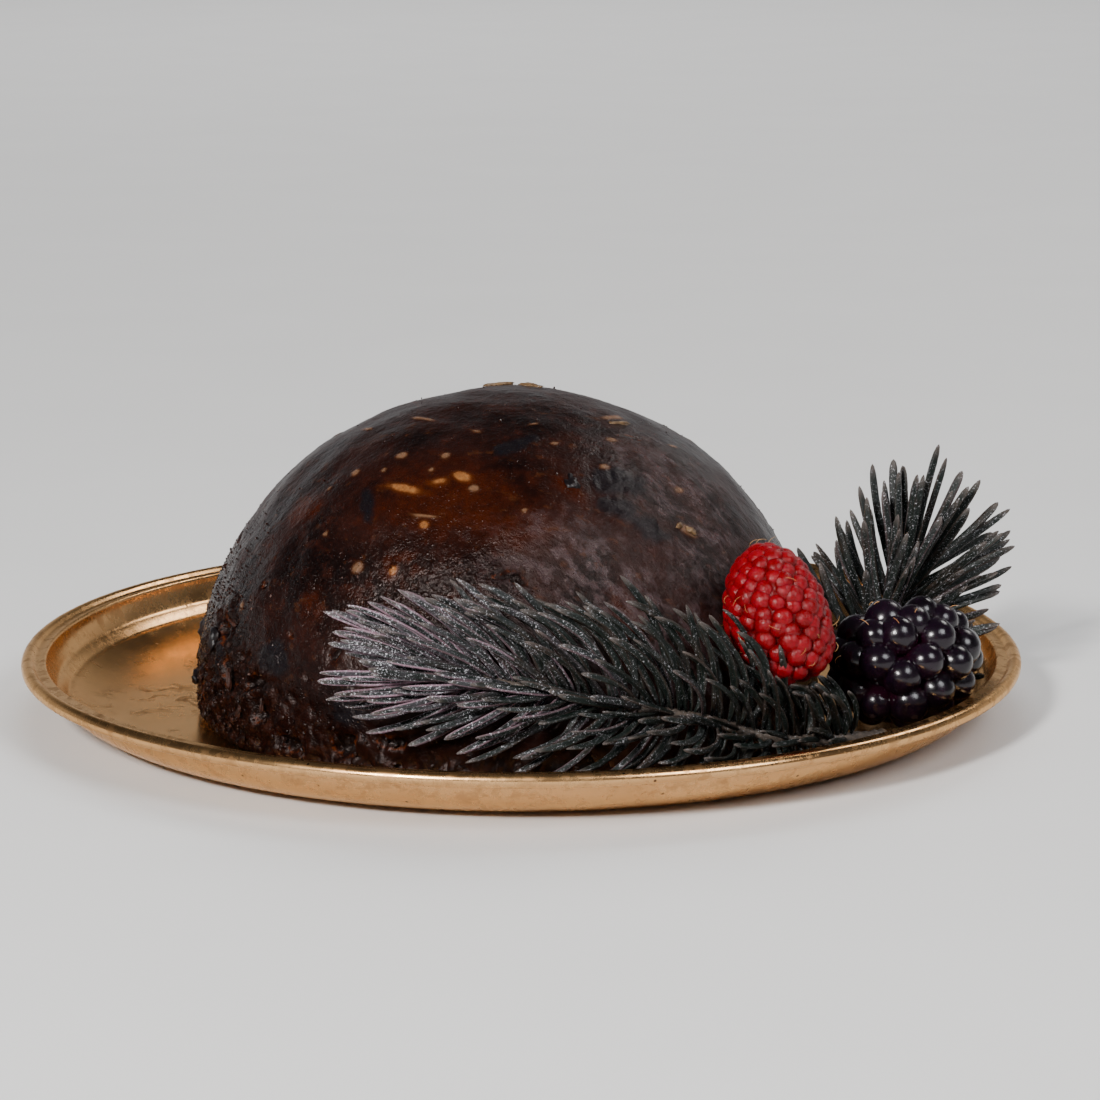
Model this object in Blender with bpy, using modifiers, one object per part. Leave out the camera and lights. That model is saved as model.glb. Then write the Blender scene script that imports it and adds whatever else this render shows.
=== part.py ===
"""A dark steamed Christmas pudding on its round brass plate, dressed with two fir sprigs,
a raspberry and a bramble fruit.

Metres, +Z up. The origin is the middle of the plate's flat underside, and the side shown to
the guests faces -Y. The pudding stands a little in front of the plate's middle.
"""

import math

import bmesh
import bpy
from mathutils import Vector, noise

GAP = 0.0003                    # clearance between pieces that rest on each other

# Plate: spun sheet with a flat floor, an elliptical cove, a narrow flat band and a rolled bead.
PLATE_RADIUS = 0.0950
FLOOR_RADIUS = 0.0753
SHEET = 0.0012
COVE_DEPTH = 0.0090
BAND_WIDTH = 0.0048             # flat band and bead together
BEAD_RADIUS = 0.0013
BEAD_DROP = 0.4 * BEAD_RADIUS   # how far the bead's middle lies below the cove's upper edge
BEAD_ARC = (156, -120)          # degrees from outwards towards up, where the bead starts and ends
COVE_ARC = (-90, -2)
WALL_ARC = (-9, -90)
WALL_THICKNESS = 0.7 * SHEET    # spinning thins the sheet where it rises
PLATE_STEPS = 56

# Pudding: an upturned basin shape, nearly half a ball.
PUDDING_CENTRE = Vector((-0.0025, -0.0120))
PUDDING_RADIUS = 0.0583
PUDDING_WIDEST = 0.0060         # height of its widest ring
PUDDING_TOP = 0.0617
PUDDING_FOOT = SHEET + GAP
FOOT_ROUNDING = 0.0016
FOOT_INSET = 1.5 * FOOT_ROUNDING
PUDDING_STEPS = 40
DOME_SEGMENTS = 13
LUMP_HEIGHT = 0.0005
LUMP_SIZE = 0.020

# Raspberry: stands on its open end and leans back on the pudding.
RASPBERRY_CENTRE = Vector((0.0451, -0.0538, 0.0289))
RASPBERRY_AXIS = Vector((-0.22, 0.20, 0.95)).normalized()
RASPBERRY_RADIUS = 0.0095
RASPBERRY_HALF_LENGTH = 0.0127
RASPBERRY_DRUPELET = 0.0021
RASPBERRY_SHAPE = (-0.25, 3.0)  # where it is widest, -1 stalk end to 1 tip, and its bluntness

# Bramble fruit: lies on its side across the sprig's cut end.
BRAMBLE_CENTRE = Vector((0.0702, -0.0350, 0.0158))
BRAMBLE_AXIS = Vector((0.766, 0.643, 0.0)).normalized()
BRAMBLE_RADIUS = 0.0126
BRAMBLE_HALF_LENGTH = 0.0161
BRAMBLE_DRUPELET = 0.0034
BRAMBLE_SHAPE = (-0.05, 2.2)
RING_PITCH = 1.7                # drupelet radii between rings, and between drupelets in a ring
DRUPELET_PITCH = 1.85
CORE_SHARE = 0.7                # of the berry's radius, that its skin never dips below

# Fir sprigs: each route runs from the cut end of the twig to its tip.
FRONT_ROUTE = [
    Vector(point) for point in (
        (0.0650, -0.0470, 0.0050), (0.0595, -0.0530, 0.0062), (0.0463, -0.0615, 0.0082),
        (0.0315, -0.0695, 0.0140), (0.0175, -0.0745, 0.0176), (0.0030, -0.0765, 0.0203),
        (-0.0085, -0.0760, 0.0218), (-0.0145, -0.0745, 0.0222),
    )
]
BACK_ROUTE = [
    Vector(point) for point in (
        (0.0640, -0.0080, 0.0045), (0.0668, -0.0040, 0.0085), (0.0695, 0.0000, 0.0130),
        (0.0725, 0.0035, 0.0185), (0.0755, 0.0065, 0.0240),
    )
]
TWIG_RADIUS = 0.0013
NEEDLE_RADIUS = 0.0008
NEEDLE_POINTS = 4
NEEDLE_WIDTHS = (0.7, 1.0, 1.0, 0.2)
NEEDLE_CLEARANCE = 0.0013       # from a needle's middle line to a neighbouring piece
CHORD_ALLOWANCE = 0.0008        # more of it round a berry, where a needle's straight parts cut in
BASE_LEAN = 70.0                # degrees between twig and needle at the cut end
TIP_LEAN = 32.0
FIRST_NEEDLE = 0.10             # share of the twig that is bare at the cut end
LAST_NEEDLE = 0.98
BASE_BEND = 1.15                # shares of a needle's lean at its root and at its tip
TIP_BEND = 0.70
# Rows of the flattened front spray: turn about the twig in degrees (0 is up) and needle length.
FRONT_ROWS = ((0.0, 0.0240), (165.0, 0.0185), (20.0, 0.0225), (140.0, 0.0180), (75.0, 0.0155))
ROW_SPREAD = 16.0               # degrees that needles stray from their row
BACK_LENGTH = 0.0240
BACK_VARIATION = 0.0020
TWIG_KNOTS = 12
TWIG_TIP_SHARE = 0.5            # of the twig's radius, left at its tip
GOLDEN_ANGLE = math.radians(137.508)


def clear_scene():
    for obj in list(bpy.data.objects):
        bpy.data.objects.remove(obj, do_unlink=True)


def collection(name, in_render=True):
    made = bpy.data.collections.new(name)
    made.hide_render = not in_render
    bpy.context.scene.collection.children.link(made)
    return made


def material(name, colour, roughness, metallic=0.0):
    made = bpy.data.materials.new(name)
    made.use_nodes = True
    shader = made.node_tree.nodes["Principled BSDF"]
    shader.inputs["Base Color"].default_value = (*colour, 1.0)
    shader.inputs["Roughness"].default_value = roughness
    shader.inputs["Metallic"].default_value = metallic
    return made


def add_object(name, data, home, finish=None):
    made = bpy.data.objects.new(name, data)
    home.objects.link(made)
    if finish is not None:
        data.materials.append(finish)
    return made


def arc(centre, radii, start, end, segments):
    """Points on an ellipse in the XZ plane, with angles in degrees from +X towards +Z."""
    angles = [math.radians(start + (end - start) * i / segments) for i in range(segments + 1)]
    return [
        Vector((centre[0] + radii[0] * math.cos(a), 0.0, centre[1] + radii[1] * math.sin(a)))
        for a in angles
    ]


def turned(name, profile, steps, home, finish):
    """A closed turned solid from a profile that runs from the axis at the top to the axis below."""
    mesh = bpy.data.meshes.new(name)
    edges = [(i, i + 1) for i in range(len(profile) - 1)]
    mesh.from_pydata(profile, edges, [])
    made = add_object(name, mesh, home, finish)
    screw = made.modifiers.new("Turn", "SCREW")
    screw.steps = steps
    screw.render_steps = steps
    screw.use_merge_vertices = True
    screw.merge_threshold = 0.00005
    return made


def as_mesh(obj):
    """Replaces an object by a plain mesh of what its modifiers or its bevel give."""
    bpy.context.view_layer.update()
    graph = bpy.context.evaluated_depsgraph_get()
    mesh = bpy.data.meshes.new_from_object(obj.evaluated_get(graph))
    name = obj.name
    home = obj.users_collection[0]
    placed = obj.matrix_world.copy()
    bpy.data.objects.remove(obj, do_unlink=True)
    welded = bmesh.new()
    welded.from_mesh(mesh)
    bmesh.ops.remove_doubles(welded, verts=welded.verts, dist=0.00001)
    welded.to_mesh(mesh)
    welded.free()
    made = add_object(name, mesh, home)
    made.matrix_world = placed
    return made


def plate_profile():
    """From the middle of the floor, up the cove, round the bead and back underneath."""
    floor = Vector((0.0, 0.0, SHEET))
    cove_centre = (FLOOR_RADIUS, SHEET + COVE_DEPTH)
    cove_width = PLATE_RADIUS - BAND_WIDTH - FLOOR_RADIUS
    inner = arc(cove_centre, (cove_width, COVE_DEPTH), *COVE_ARC, 6)
    bead_centre = (PLATE_RADIUS - BEAD_RADIUS, cove_centre[1] - BEAD_DROP)
    bead = arc(bead_centre, (BEAD_RADIUS, BEAD_RADIUS), *BEAD_ARC, 6)
    wall_radii = (cove_width + WALL_THICKNESS, COVE_DEPTH + SHEET)
    outer = arc(cove_centre, wall_radii, *WALL_ARC, 5)
    return [floor, *inner, *bead, *outer, Vector((0.0, 0.0, 0.0))]


def plate_surface(radius):
    """Height of the plate's upper face at this distance from its axis, as far as the band."""
    if radius <= FLOOR_RADIUS:
        return SHEET
    across = min(1.0, (radius - FLOOR_RADIUS) / (PLATE_RADIUS - BAND_WIDTH - FLOOR_RADIUS))
    return SHEET + COVE_DEPTH * (1.0 - math.sqrt(1.0 - across ** 2))


def make_plate(home):
    brass = material("brass_sheet", (0.62, 0.40, 0.19), 0.32, 1.0)
    return turned("plate", plate_profile(), PLATE_STEPS, home, brass)


def make_pudding(home):
    """Turned like the plate, then made gently uneven above its foot."""
    dome = arc(
        (0.0, PUDDING_WIDEST), (PUDDING_RADIUS, PUDDING_TOP - PUDDING_WIDEST), 90, 0,
        DOME_SEGMENTS,
    )
    dome[0].x = 0.0
    foot_edge = arc(
        (PUDDING_RADIUS - FOOT_INSET, PUDDING_FOOT + FOOT_ROUNDING),
        (FOOT_ROUNDING, FOOT_ROUNDING), -20, -90, 2,
    )
    profile = [*dome, *foot_edge, Vector((0.0, 0.0, PUDDING_FOOT))]
    turned("pudding", profile, PUDDING_STEPS, home, None)
    pudding = as_mesh(bpy.data.objects["pudding"])
    pudding.location = (*PUDDING_CENTRE, 0.0)
    pudding.data.materials.append(material("dark_pudding", (0.045, 0.018, 0.012), 0.38))
    middle = Vector((0.0, 0.0, PUDDING_WIDEST))
    for vertex in pudding.data.vertices:
        if vertex.co.z > PUDDING_FOOT + 0.5 * FOOT_ROUNDING:
            outward = (vertex.co - middle).normalized()
            vertex.co += outward * LUMP_HEIGHT * noise.noise(vertex.co / LUMP_SIZE)
    pudding.data.shade_smooth()
    return pudding


def berry_radius(along, widest_at, radius, bluntness):
    """Radius of a berry's body at -1 (stalk end) to 1 (tip), widest at widest_at."""
    if along > widest_at:
        across = (along - widest_at) / (1.0 - widest_at)
        return radius * math.sqrt(max(0.0, 1.0 - across ** 2))
    across = (widest_at - along) / (1.0 + widest_at)
    return radius * max(0.0, 1.0 - across ** bluntness) ** (1.0 / bluntness)


def drupelet_centres(radius, half_length, drupelet, widest_at, bluntness):
    """Middles of the drupelets, in staggered rings from the stalk end to the tip."""
    core = radius - drupelet
    reach = half_length - drupelet
    rings = max(3, round(2.0 * reach / (RING_PITCH * drupelet)))
    centres = [Vector((0.0, 0.0, reach)), Vector((0.0, 0.0, -reach))]
    for ring in range(rings):
        along = -1.0 + 2.0 * (ring + 0.5) / rings
        around = berry_radius(along, widest_at, core, bluntness)
        count = max(3, round(2.0 * math.pi * around / (DRUPELET_PITCH * drupelet)))
        for i in range(count):
            turn = 2.0 * math.pi * (i + 0.5 * (ring % 2)) / count
            centres.append(Vector((around * math.cos(turn), around * math.sin(turn),
                                   along * reach)))
    return centres


def reach_of(direction, centres, drupelet, least):
    """How far the outermost drupelet surface lies from the berry's middle in this direction."""
    furthest = least
    for centre in centres:
        along = direction.dot(centre)
        inside = along ** 2 - centre.length_squared + drupelet ** 2
        if inside > 0.0:
            furthest = max(furthest, along + math.sqrt(inside))
    return furthest


def make_berry(name, home, finish, place, axis, size, drupelet, shape, rounds):
    """One closed skin over a cluster of drupelets. rounds is its facets round and along it."""
    radius, half_length = size
    centres = drupelet_centres(radius, half_length, drupelet, *shape)
    skin = bmesh.new()
    bmesh.ops.create_uvsphere(skin, u_segments=rounds[0], v_segments=rounds[1], radius=1.0)
    for vertex in skin.verts:
        direction = vertex.co.normalized()
        vertex.co = direction * reach_of(direction, centres, drupelet, CORE_SHARE * radius)
    mesh = bpy.data.meshes.new(name)
    skin.to_mesh(mesh)
    skin.free()
    berry = add_object(name, mesh, home, finish)
    berry.location = place
    berry.rotation_euler = axis.to_track_quat("Z", "Y").to_euler()
    mesh.shade_smooth()
    return berry


def along_route(route, share):
    """Point and direction at a share, 0 to 1, of a smooth curve through the route's points."""
    spans = len(route) - 1
    span = min(spans - 1, int(share * spans))
    t = share * spans - span
    p1, p2 = route[span], route[span + 1]
    p0 = route[span - 1] if span > 0 else 2.0 * p1 - p2
    p3 = route[span + 2] if span + 2 <= spans else 2.0 * p2 - p1
    point = 0.5 * (2.0 * p1 + (p2 - p0) * t + (2.0 * p0 - 5.0 * p1 + 4.0 * p2 - p3) * t ** 2
                   + (3.0 * p1 - 3.0 * p2 + p3 - p0) * t ** 3)
    slope = 0.5 * ((p2 - p0) + 2.0 * (2.0 * p0 - 5.0 * p1 + 4.0 * p2 - p3) * t
                   + 3.0 * (3.0 * p1 - 3.0 * p2 + p3 - p0) * t ** 2)
    return point, slope.normalized()


def out_of_ellipsoid(point, centre, axis, across, along):
    """The point, moved straight away from an ellipsoid's middle if it lies inside it."""
    offset = point - centre
    height = offset.dot(axis)
    side = (offset - height * axis).length
    depth = math.hypot(side / across, height / along)
    return point if depth >= 1.0 else centre + offset / depth


def cleared(point):
    """The point, moved off the plate, the pudding and the berries where it lies in them."""
    dome_middle = Vector((*PUDDING_CENTRE, PUDDING_WIDEST))
    up = Vector((0.0, 0.0, 1.0))
    room = NEEDLE_CLEARANCE
    point = out_of_ellipsoid(
        point, dome_middle, up, PUDDING_RADIUS + LUMP_HEIGHT + room,
        PUDDING_TOP - PUDDING_WIDEST + LUMP_HEIGHT + room,
    )
    wide = room + CHORD_ALLOWANCE
    point = out_of_ellipsoid(
        point, RASPBERRY_CENTRE, RASPBERRY_AXIS, RASPBERRY_RADIUS + wide,
        RASPBERRY_HALF_LENGTH + wide,
    )
    point = out_of_ellipsoid(
        point, BRAMBLE_CENTRE, BRAMBLE_AXIS, BRAMBLE_RADIUS + wide, BRAMBLE_HALF_LENGTH + wide,
    )
    rim_height = SHEET + COVE_DEPTH + BEAD_RADIUS + room
    across = Vector((point.x, point.y)).length
    inside = PLATE_RADIUS - BAND_WIDTH - 2.0 * room
    if across > inside and point.z < rim_height:
        point = Vector((point.x * inside / across, point.y * inside / across, point.z))
        across = inside
    if across <= inside:
        point.z = max(point.z, plate_surface(across) + 1.4 * room)
    return point


def needle_line(root, forward, outward, length, lean):
    """Middle line of one needle, which leaves the twig at the angle lean and bends forwards."""
    points = [root]
    step = length / (NEEDLE_POINTS - 1)
    for i in range(1, NEEDLE_POINTS):
        angle = lean * (BASE_BEND + (TIP_BEND - BASE_BEND) * i / (NEEDLE_POINTS - 1))
        heading = forward * math.cos(angle) + outward * math.sin(angle)
        points.append(cleared(points[-1] + heading * step))
    return points


def curve_object(name, lines, radius, home):
    """Round tubes along the given lines. Each line is a list of points with a share of radius."""
    data = bpy.data.curves.new(name, "CURVE")
    data.dimensions = "3D"
    data.bevel_depth = radius
    data.bevel_resolution = 0
    data.use_fill_caps = True
    for line in lines:
        spline = data.splines.new("POLY")
        spline.points.add(len(line) - 1)
        for knot, (point, share) in zip(spline.points, line):
            knot.co = (*point, 1.0)
            knot.radius = share
    return add_object(name, data, home)


def make_sprig(name, route, needles, facing, place, home, helpers, finish):
    """A twig with its needles, joined into one solid. place gives a needle's turn and length."""
    twig_line = []
    for i in range(TWIG_KNOTS):
        share = i / (TWIG_KNOTS - 1)
        point, _ = along_route(route, share)
        twig_line.append((point, 1.0 + (TWIG_TIP_SHARE - 1.0) * share))
    lines = []
    for i in range(needles):
        share = FIRST_NEEDLE + (LAST_NEEDLE - FIRST_NEEDLE) * (i + 0.5) / needles
        root, forward = along_route(route, share)
        front = (facing - forward * facing.dot(forward)).normalized()
        upward = forward.cross(front).normalized()
        turn, length = place(i)
        outward = upward * math.cos(turn) + front * math.sin(turn)
        lean = math.radians(BASE_LEAN + (TIP_LEAN - BASE_LEAN) * share)
        line = needle_line(root, forward, outward, length, lean)
        lines.append(list(zip(line, NEEDLE_WIDTHS)))
    twig = as_mesh(curve_object(name, [twig_line], TWIG_RADIUS, home))
    twig.data.materials.append(finish)
    bundle = as_mesh(curve_object(name + "_needles", lines, NEEDLE_RADIUS, helpers))
    bundle.hide_render = True
    bundle.display_type = "WIRE"
    join = twig.modifiers.new("Join needles", "BOOLEAN")
    join.operation = "UNION"
    join.solver = "EXACT"
    join.use_self = True
    join.object = bundle
    return twig


def front_needle(index):
    """Turn and length in a flattened spray: two upper rows, two lower rows and one in front."""
    turn, length = FRONT_ROWS[index % len(FRONT_ROWS)]
    return math.radians(turn + ROW_SPREAD * math.sin(index * GOLDEN_ANGLE)), length


def back_needle(index):
    """Turn and length of needles that stand all round their twig."""
    return math.pi - index * GOLDEN_ANGLE, BACK_LENGTH + BACK_VARIATION * math.sin(5.0 * index)


def main():
    clear_scene()
    parts = collection("christmas_pudding")
    helpers = collection("helpers", in_render=False)
    make_plate(parts)
    make_pudding(parts)
    make_berry(
        "raspberry", parts, material("raspberry_skin", (0.55, 0.01, 0.02), 0.35),
        RASPBERRY_CENTRE, RASPBERRY_AXIS, (RASPBERRY_RADIUS, RASPBERRY_HALF_LENGTH),
        RASPBERRY_DRUPELET, RASPBERRY_SHAPE, (28, 18),
    )
    make_berry(
        "bramble_fruit", parts, material("bramble_skin", (0.012, 0.006, 0.014), 0.12),
        BRAMBLE_CENTRE, BRAMBLE_AXIS, (BRAMBLE_RADIUS, BRAMBLE_HALF_LENGTH),
        BRAMBLE_DRUPELET, BRAMBLE_SHAPE, (34, 20),
    )
    fir = material("frosted_fir", (0.045, 0.065, 0.055), 0.55)
    make_sprig(
        "sprig_front", FRONT_ROUTE, 60, Vector((0.0, -1.0, 0.25)), front_needle,
        parts, helpers, fir,
    )
    make_sprig(
        "sprig_back", BACK_ROUTE, 40, Vector((0.0, -1.0, 0.2)), back_needle,
        parts, helpers, fir,
    )


main()
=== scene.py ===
"""Looks of the Christmas pudding: every visible piece, its finish, the floor, light and camera.

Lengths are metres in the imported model's frame: +Z up, the front of the dish facing -Y and the
origin under the middle of the plate. Inside the materials, coordinates are in millimetres.
"""

import math
import random

import bmesh
import bpy
import numpy as np
from mathutils import Matrix, Vector, noise


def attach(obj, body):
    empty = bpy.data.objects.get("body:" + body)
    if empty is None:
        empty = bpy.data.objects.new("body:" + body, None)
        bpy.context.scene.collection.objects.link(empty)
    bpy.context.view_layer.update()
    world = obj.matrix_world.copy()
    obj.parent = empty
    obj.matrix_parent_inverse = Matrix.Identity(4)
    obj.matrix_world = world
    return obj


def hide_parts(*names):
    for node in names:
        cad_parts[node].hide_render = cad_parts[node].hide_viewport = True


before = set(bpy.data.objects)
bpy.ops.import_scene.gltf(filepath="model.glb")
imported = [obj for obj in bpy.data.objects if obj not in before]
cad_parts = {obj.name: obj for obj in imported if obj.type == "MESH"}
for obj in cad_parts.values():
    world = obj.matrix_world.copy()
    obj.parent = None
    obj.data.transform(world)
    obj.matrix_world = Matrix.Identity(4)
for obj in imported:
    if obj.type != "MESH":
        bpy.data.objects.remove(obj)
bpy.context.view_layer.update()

MM = 0.001
UP = Vector((0.0, 0.0, 1.0))
GOLDEN_ANGLE = math.radians(137.508)

# Plate, as the CAD model has it.
PLATE_RADIUS = 0.095
FLOOR_RADIUS = 0.0753
SHEET = 0.0012
COVE_DEPTH = 0.009
BAND_WIDTH = 0.0048
BEAD_RADIUS = 0.0013
PLATE_STEPS = 288
CREASE_RADII = (0.0862, 0.0884)  # two shallow creases run round the cove below the band
CREASE_WIDTH = 0.0005
CREASE_DEPTH = 0.00022
LIP = 0.0006                    # round edge where the cove meets the band
VALLEY = (0.0004, 0.0003)       # groove inside the bead, inwards and down from its inner edge
RIM_WAVE = 0.00012              # how far the thin rim is out of true
PUDDING_SHADE_MIDDLE = (-68.0, -6.0, 0.0)  # of the painted shadow and reflection of the pudding in the well, in millimetres

# Pudding: nearly half a ball on a short upright side.
PUDDING_MIDDLE = Vector((-0.0025, -0.012, 0.006))
PUDDING_RADIUS = 0.0583
PUDDING_HEIGHT = 0.0557         # above its middle
PUDDING_FOOT = 0.0015
PUDDING_GRID = 308
DOME_SHARE = 0.962              # of the grid's radius is dome, and the rest is the upright side
FOOT_INSET = 0.0015             # how far the side draws in at the bottom
LUMP_HEIGHT = 0.0005            # the skin's broad unevenness
LUMP_SIZE = 0.02
SKIN_SWELL = 0.0006             # room that needles leave for those lumps
STREAK_TURN = (38.0, -48.0)     # azimuth and elevation that the sheen's streaks run along
SYRUP_BEADS = 9500
BEAD_SIZES = (0.00009, 0.00028)

# Berries.
RASPBERRY_CENTRE = Vector((0.0451, -0.0538, 0.0289))
RASPBERRY_AXIS = Vector((-0.22, 0.2, 0.95)).normalized()
RASPBERRY_RADIUS = 0.0095
RASPBERRY_HALF_LENGTH = 0.0127
RASPBERRY_DRUPELETS = 176
RASPBERRY_DRUPELET = 0.00195
RASPBERRY_DEPTH = 0.0015        # how far its drupelets stand out
RASPBERRY_HAIRS = 34
BRAMBLE_CENTRE = Vector((0.0702, -0.035, 0.0158))
BRAMBLE_AXIS = Vector((0.766, 0.643, 0.0)).normalized()
BRAMBLE_RADIUS = 0.0126
BRAMBLE_HALF_LENGTH = 0.0161
BRAMBLE_DRUPELETS = 46
BRAMBLE_DRUPELET = 0.0035
BRAMBLE_HAIRS = 16
CORE_GAPS = (0.001, 0.0046)     # from each berry's outside to its core: raspberry, bramble

# Fir sprigs: each route runs from the cut end of the twig to its tip.
FRONT_ROUTE = [
    Vector(point) for point in (
        (0.065, -0.047, 0.005), (0.0595, -0.053, 0.0062), (0.0463, -0.0615, 0.0082),
        (0.0315, -0.0695, 0.014), (0.0175, -0.0745, 0.0178), (0.003, -0.0765, 0.021),
        (-0.0085, -0.0765, 0.0234), (-0.0155, -0.0755, 0.0242),
    )
]
BACK_ROUTE = [
    Vector(point) for point in (
        (0.064, -0.008, 0.0045), (0.0668, -0.004, 0.0085), (0.0695, 0.0, 0.013),
        (0.0725, 0.0035, 0.0185), (0.0755, 0.0065, 0.024),
    )
]
TWIG_RADIUS = 0.0012
FRONT_NEEDLES = 240
BACK_NEEDLES = 110
NEEDLE_SHARES = (0.0, 0.07, 0.19, 0.33, 0.47, 0.61, 0.74, 0.85, 0.93, 0.98, 1.0)
NEEDLE_CLEARANCE = 0.0009       # from a needle's middle line to a neighbouring piece
NEEDLE_SECTION = (              # half-widths across, half-thicknesses up, anticlockwise
    (-1.0, 0.0), (-0.55, -0.75), (0.0, -1.0), (0.55, -0.75),
    (1.0, 0.0), (0.6, 0.9), (0.0, 0.35), (-0.6, 0.9),
)

# Camera, at the angle that the dish is seen from.
CAMERA_AIM = Vector((0.005433, 0.0, 0.029049))
CAMERA_ELEVATION = math.radians(12.042)
CAMERA_DISTANCE = 0.7
CAMERA_LENS = 120.265
CAMERA_SENSOR = 36.0


# ---- shapes

def smooth(low, high, value):
    """Rises smoothly from 0 at low to 1 at high."""
    t = np.clip((value - low) / (high - low), 0.0, 1.0)
    return t * t * (3.0 - 2.0 * t)


def noise_at(points, size, seed=0.0):
    """Perlin noise, about -0.7 to 0.7, at each point, with lumps of this size."""
    shift = Vector((seed, 1.7 * seed, -2.3 * seed))
    return np.array([noise.noise(Vector(point) / size + shift) for point in points])


def rough_at(points, size, seed=0.0, octaves=4):
    """Noise of several scales at each point, the coarsest with lumps of this size."""
    shift = Vector((seed, 1.7 * seed, -2.3 * seed))
    return np.array(
        [noise.fractal(Vector(point) / size + shift, 0.8, 2.1, octaves) for point in points]
    )


def arc(centre, radii, start, end, segments):
    """Points on an ellipse, with angles in degrees from outwards towards up."""
    angles = np.radians(np.linspace(start, end, segments + 1))
    return [(centre[0] + radii[0] * math.cos(a), centre[1] + radii[1] * math.sin(a))
            for a in angles]


def tone_attribute(mesh, name, tones):
    """Four values, 0 to 1, for each vertex, which a material reads by this name."""
    layer = mesh.color_attributes.new(name, "FLOAT_COLOR", "POINT")
    layer.data.foreach_set("color", np.ascontiguousarray(tones, np.float32).ravel())


def make_mesh(name, points, faces, tones=None):
    mesh = bpy.data.meshes.new(name)
    mesh.from_pydata([tuple(point) for point in points], [], faces)
    for layer, values in (tones or {}).items():
        tone_attribute(mesh, layer, values)
    mesh.shade_smooth()
    return mesh


def piece(name, mesh, finish, slot, *nodes):
    """Puts a mesh in the scene as a piece of the dish that stands for these CAD nodes."""
    made = bpy.data.objects.new(name, mesh)
    bpy.context.scene.collection.objects.link(made)
    mesh.materials.append(finish)
    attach(made, "root")
    if nodes:
        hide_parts(*nodes)
    return made


class Heap:
    """Many small shapes gathered into one mesh, with four values for each vertex."""

    def __init__(self):
        self.points = []
        self.faces = []
        self.tones = []

    def add(self, points, faces, tones):
        start = len(self.points)
        self.points.extend(points)
        self.faces.extend([tuple(start + i for i in face) for face in faces])
        self.tones.extend(tones)

    def mesh(self, name):
        return make_mesh(name, self.points, self.faces, {"tone": np.array(self.tones)})


def unit_ball(subdivisions):
    """Points and faces of a round ball of radius 1."""
    ball = bmesh.new()
    bmesh.ops.create_icosphere(ball, subdivisions=subdivisions, radius=1.0)
    points = np.array([vertex.co for vertex in ball.verts])
    faces = [tuple(vertex.index for vertex in face.verts) for face in ball.faces]
    ball.free()
    return points, faces


def turned_to(direction):
    """Rotation that carries +Z to this direction, as a numpy matrix."""
    return np.array(Vector(direction).to_track_quat("Z", "Y").to_matrix())


def heading(line, i):
    """Direction of a line at its point i."""
    return (line[min(i + 1, len(line) - 1)] - line[max(i - 1, 0)]).normalized()


def loft_faces(rings, sides):
    """Faces between rings of this many points each, closed at both ends."""
    faces = []
    for i in range(rings - 1):
        for k in range(sides):
            a = i * sides + k
            b = i * sides + (k + 1) % sides
            faces.append((a, b, b + sides, a + sides))
    faces.append(tuple(reversed(range(sides))))
    faces.append(tuple(range((rings - 1) * sides, rings * sides)))
    return faces


def tube(heap, line, radii, sides, tone):
    """Adds a round tube along a line, with a radius at each of its points, closed at both ends."""
    points = []
    hint = Vector((0.31, 0.17, 0.93))  # no line here runs along it
    for i, (point, radius) in enumerate(zip(line, radii)):
        ahead = heading(line, i)
        side = ahead.cross(hint).normalized()
        over = side.cross(ahead)
        for k in range(sides):
            turn = 2.0 * math.pi * k / sides
            points.append(point + (side * math.cos(turn) + over * math.sin(turn)) * radius)
    shares = np.repeat(np.linspace(0.0, 1.0, len(line)), sides)
    heap.add(points, loft_faces(len(line), sides), [(share, *tone) for share in shares])


def along_route(route, share):
    """Point and direction at a share, 0 to 1, of a smooth curve through the route's points."""
    spans = len(route) - 1
    span = min(spans - 1, int(share * spans))
    t = share * spans - span
    p1, p2 = route[span], route[span + 1]
    p0 = route[span - 1] if span > 0 else 2.0 * p1 - p2
    p3 = route[span + 2] if span + 2 <= spans else 2.0 * p2 - p1
    point = 0.5 * (2.0 * p1 + (p2 - p0) * t + (2.0 * p0 - 5.0 * p1 + 4.0 * p2 - p3) * t ** 2
                   + (3.0 * p1 - 3.0 * p2 + p3 - p0) * t ** 3)
    slope = 0.5 * ((p2 - p0) + 2.0 * (2.0 * p0 - 5.0 * p1 + 4.0 * p2 - p3) * t
                   + 3.0 * (3.0 * p1 - 3.0 * p2 + p3 - p0) * t ** 2)
    return point, slope.normalized()


# ---- materials

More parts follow.
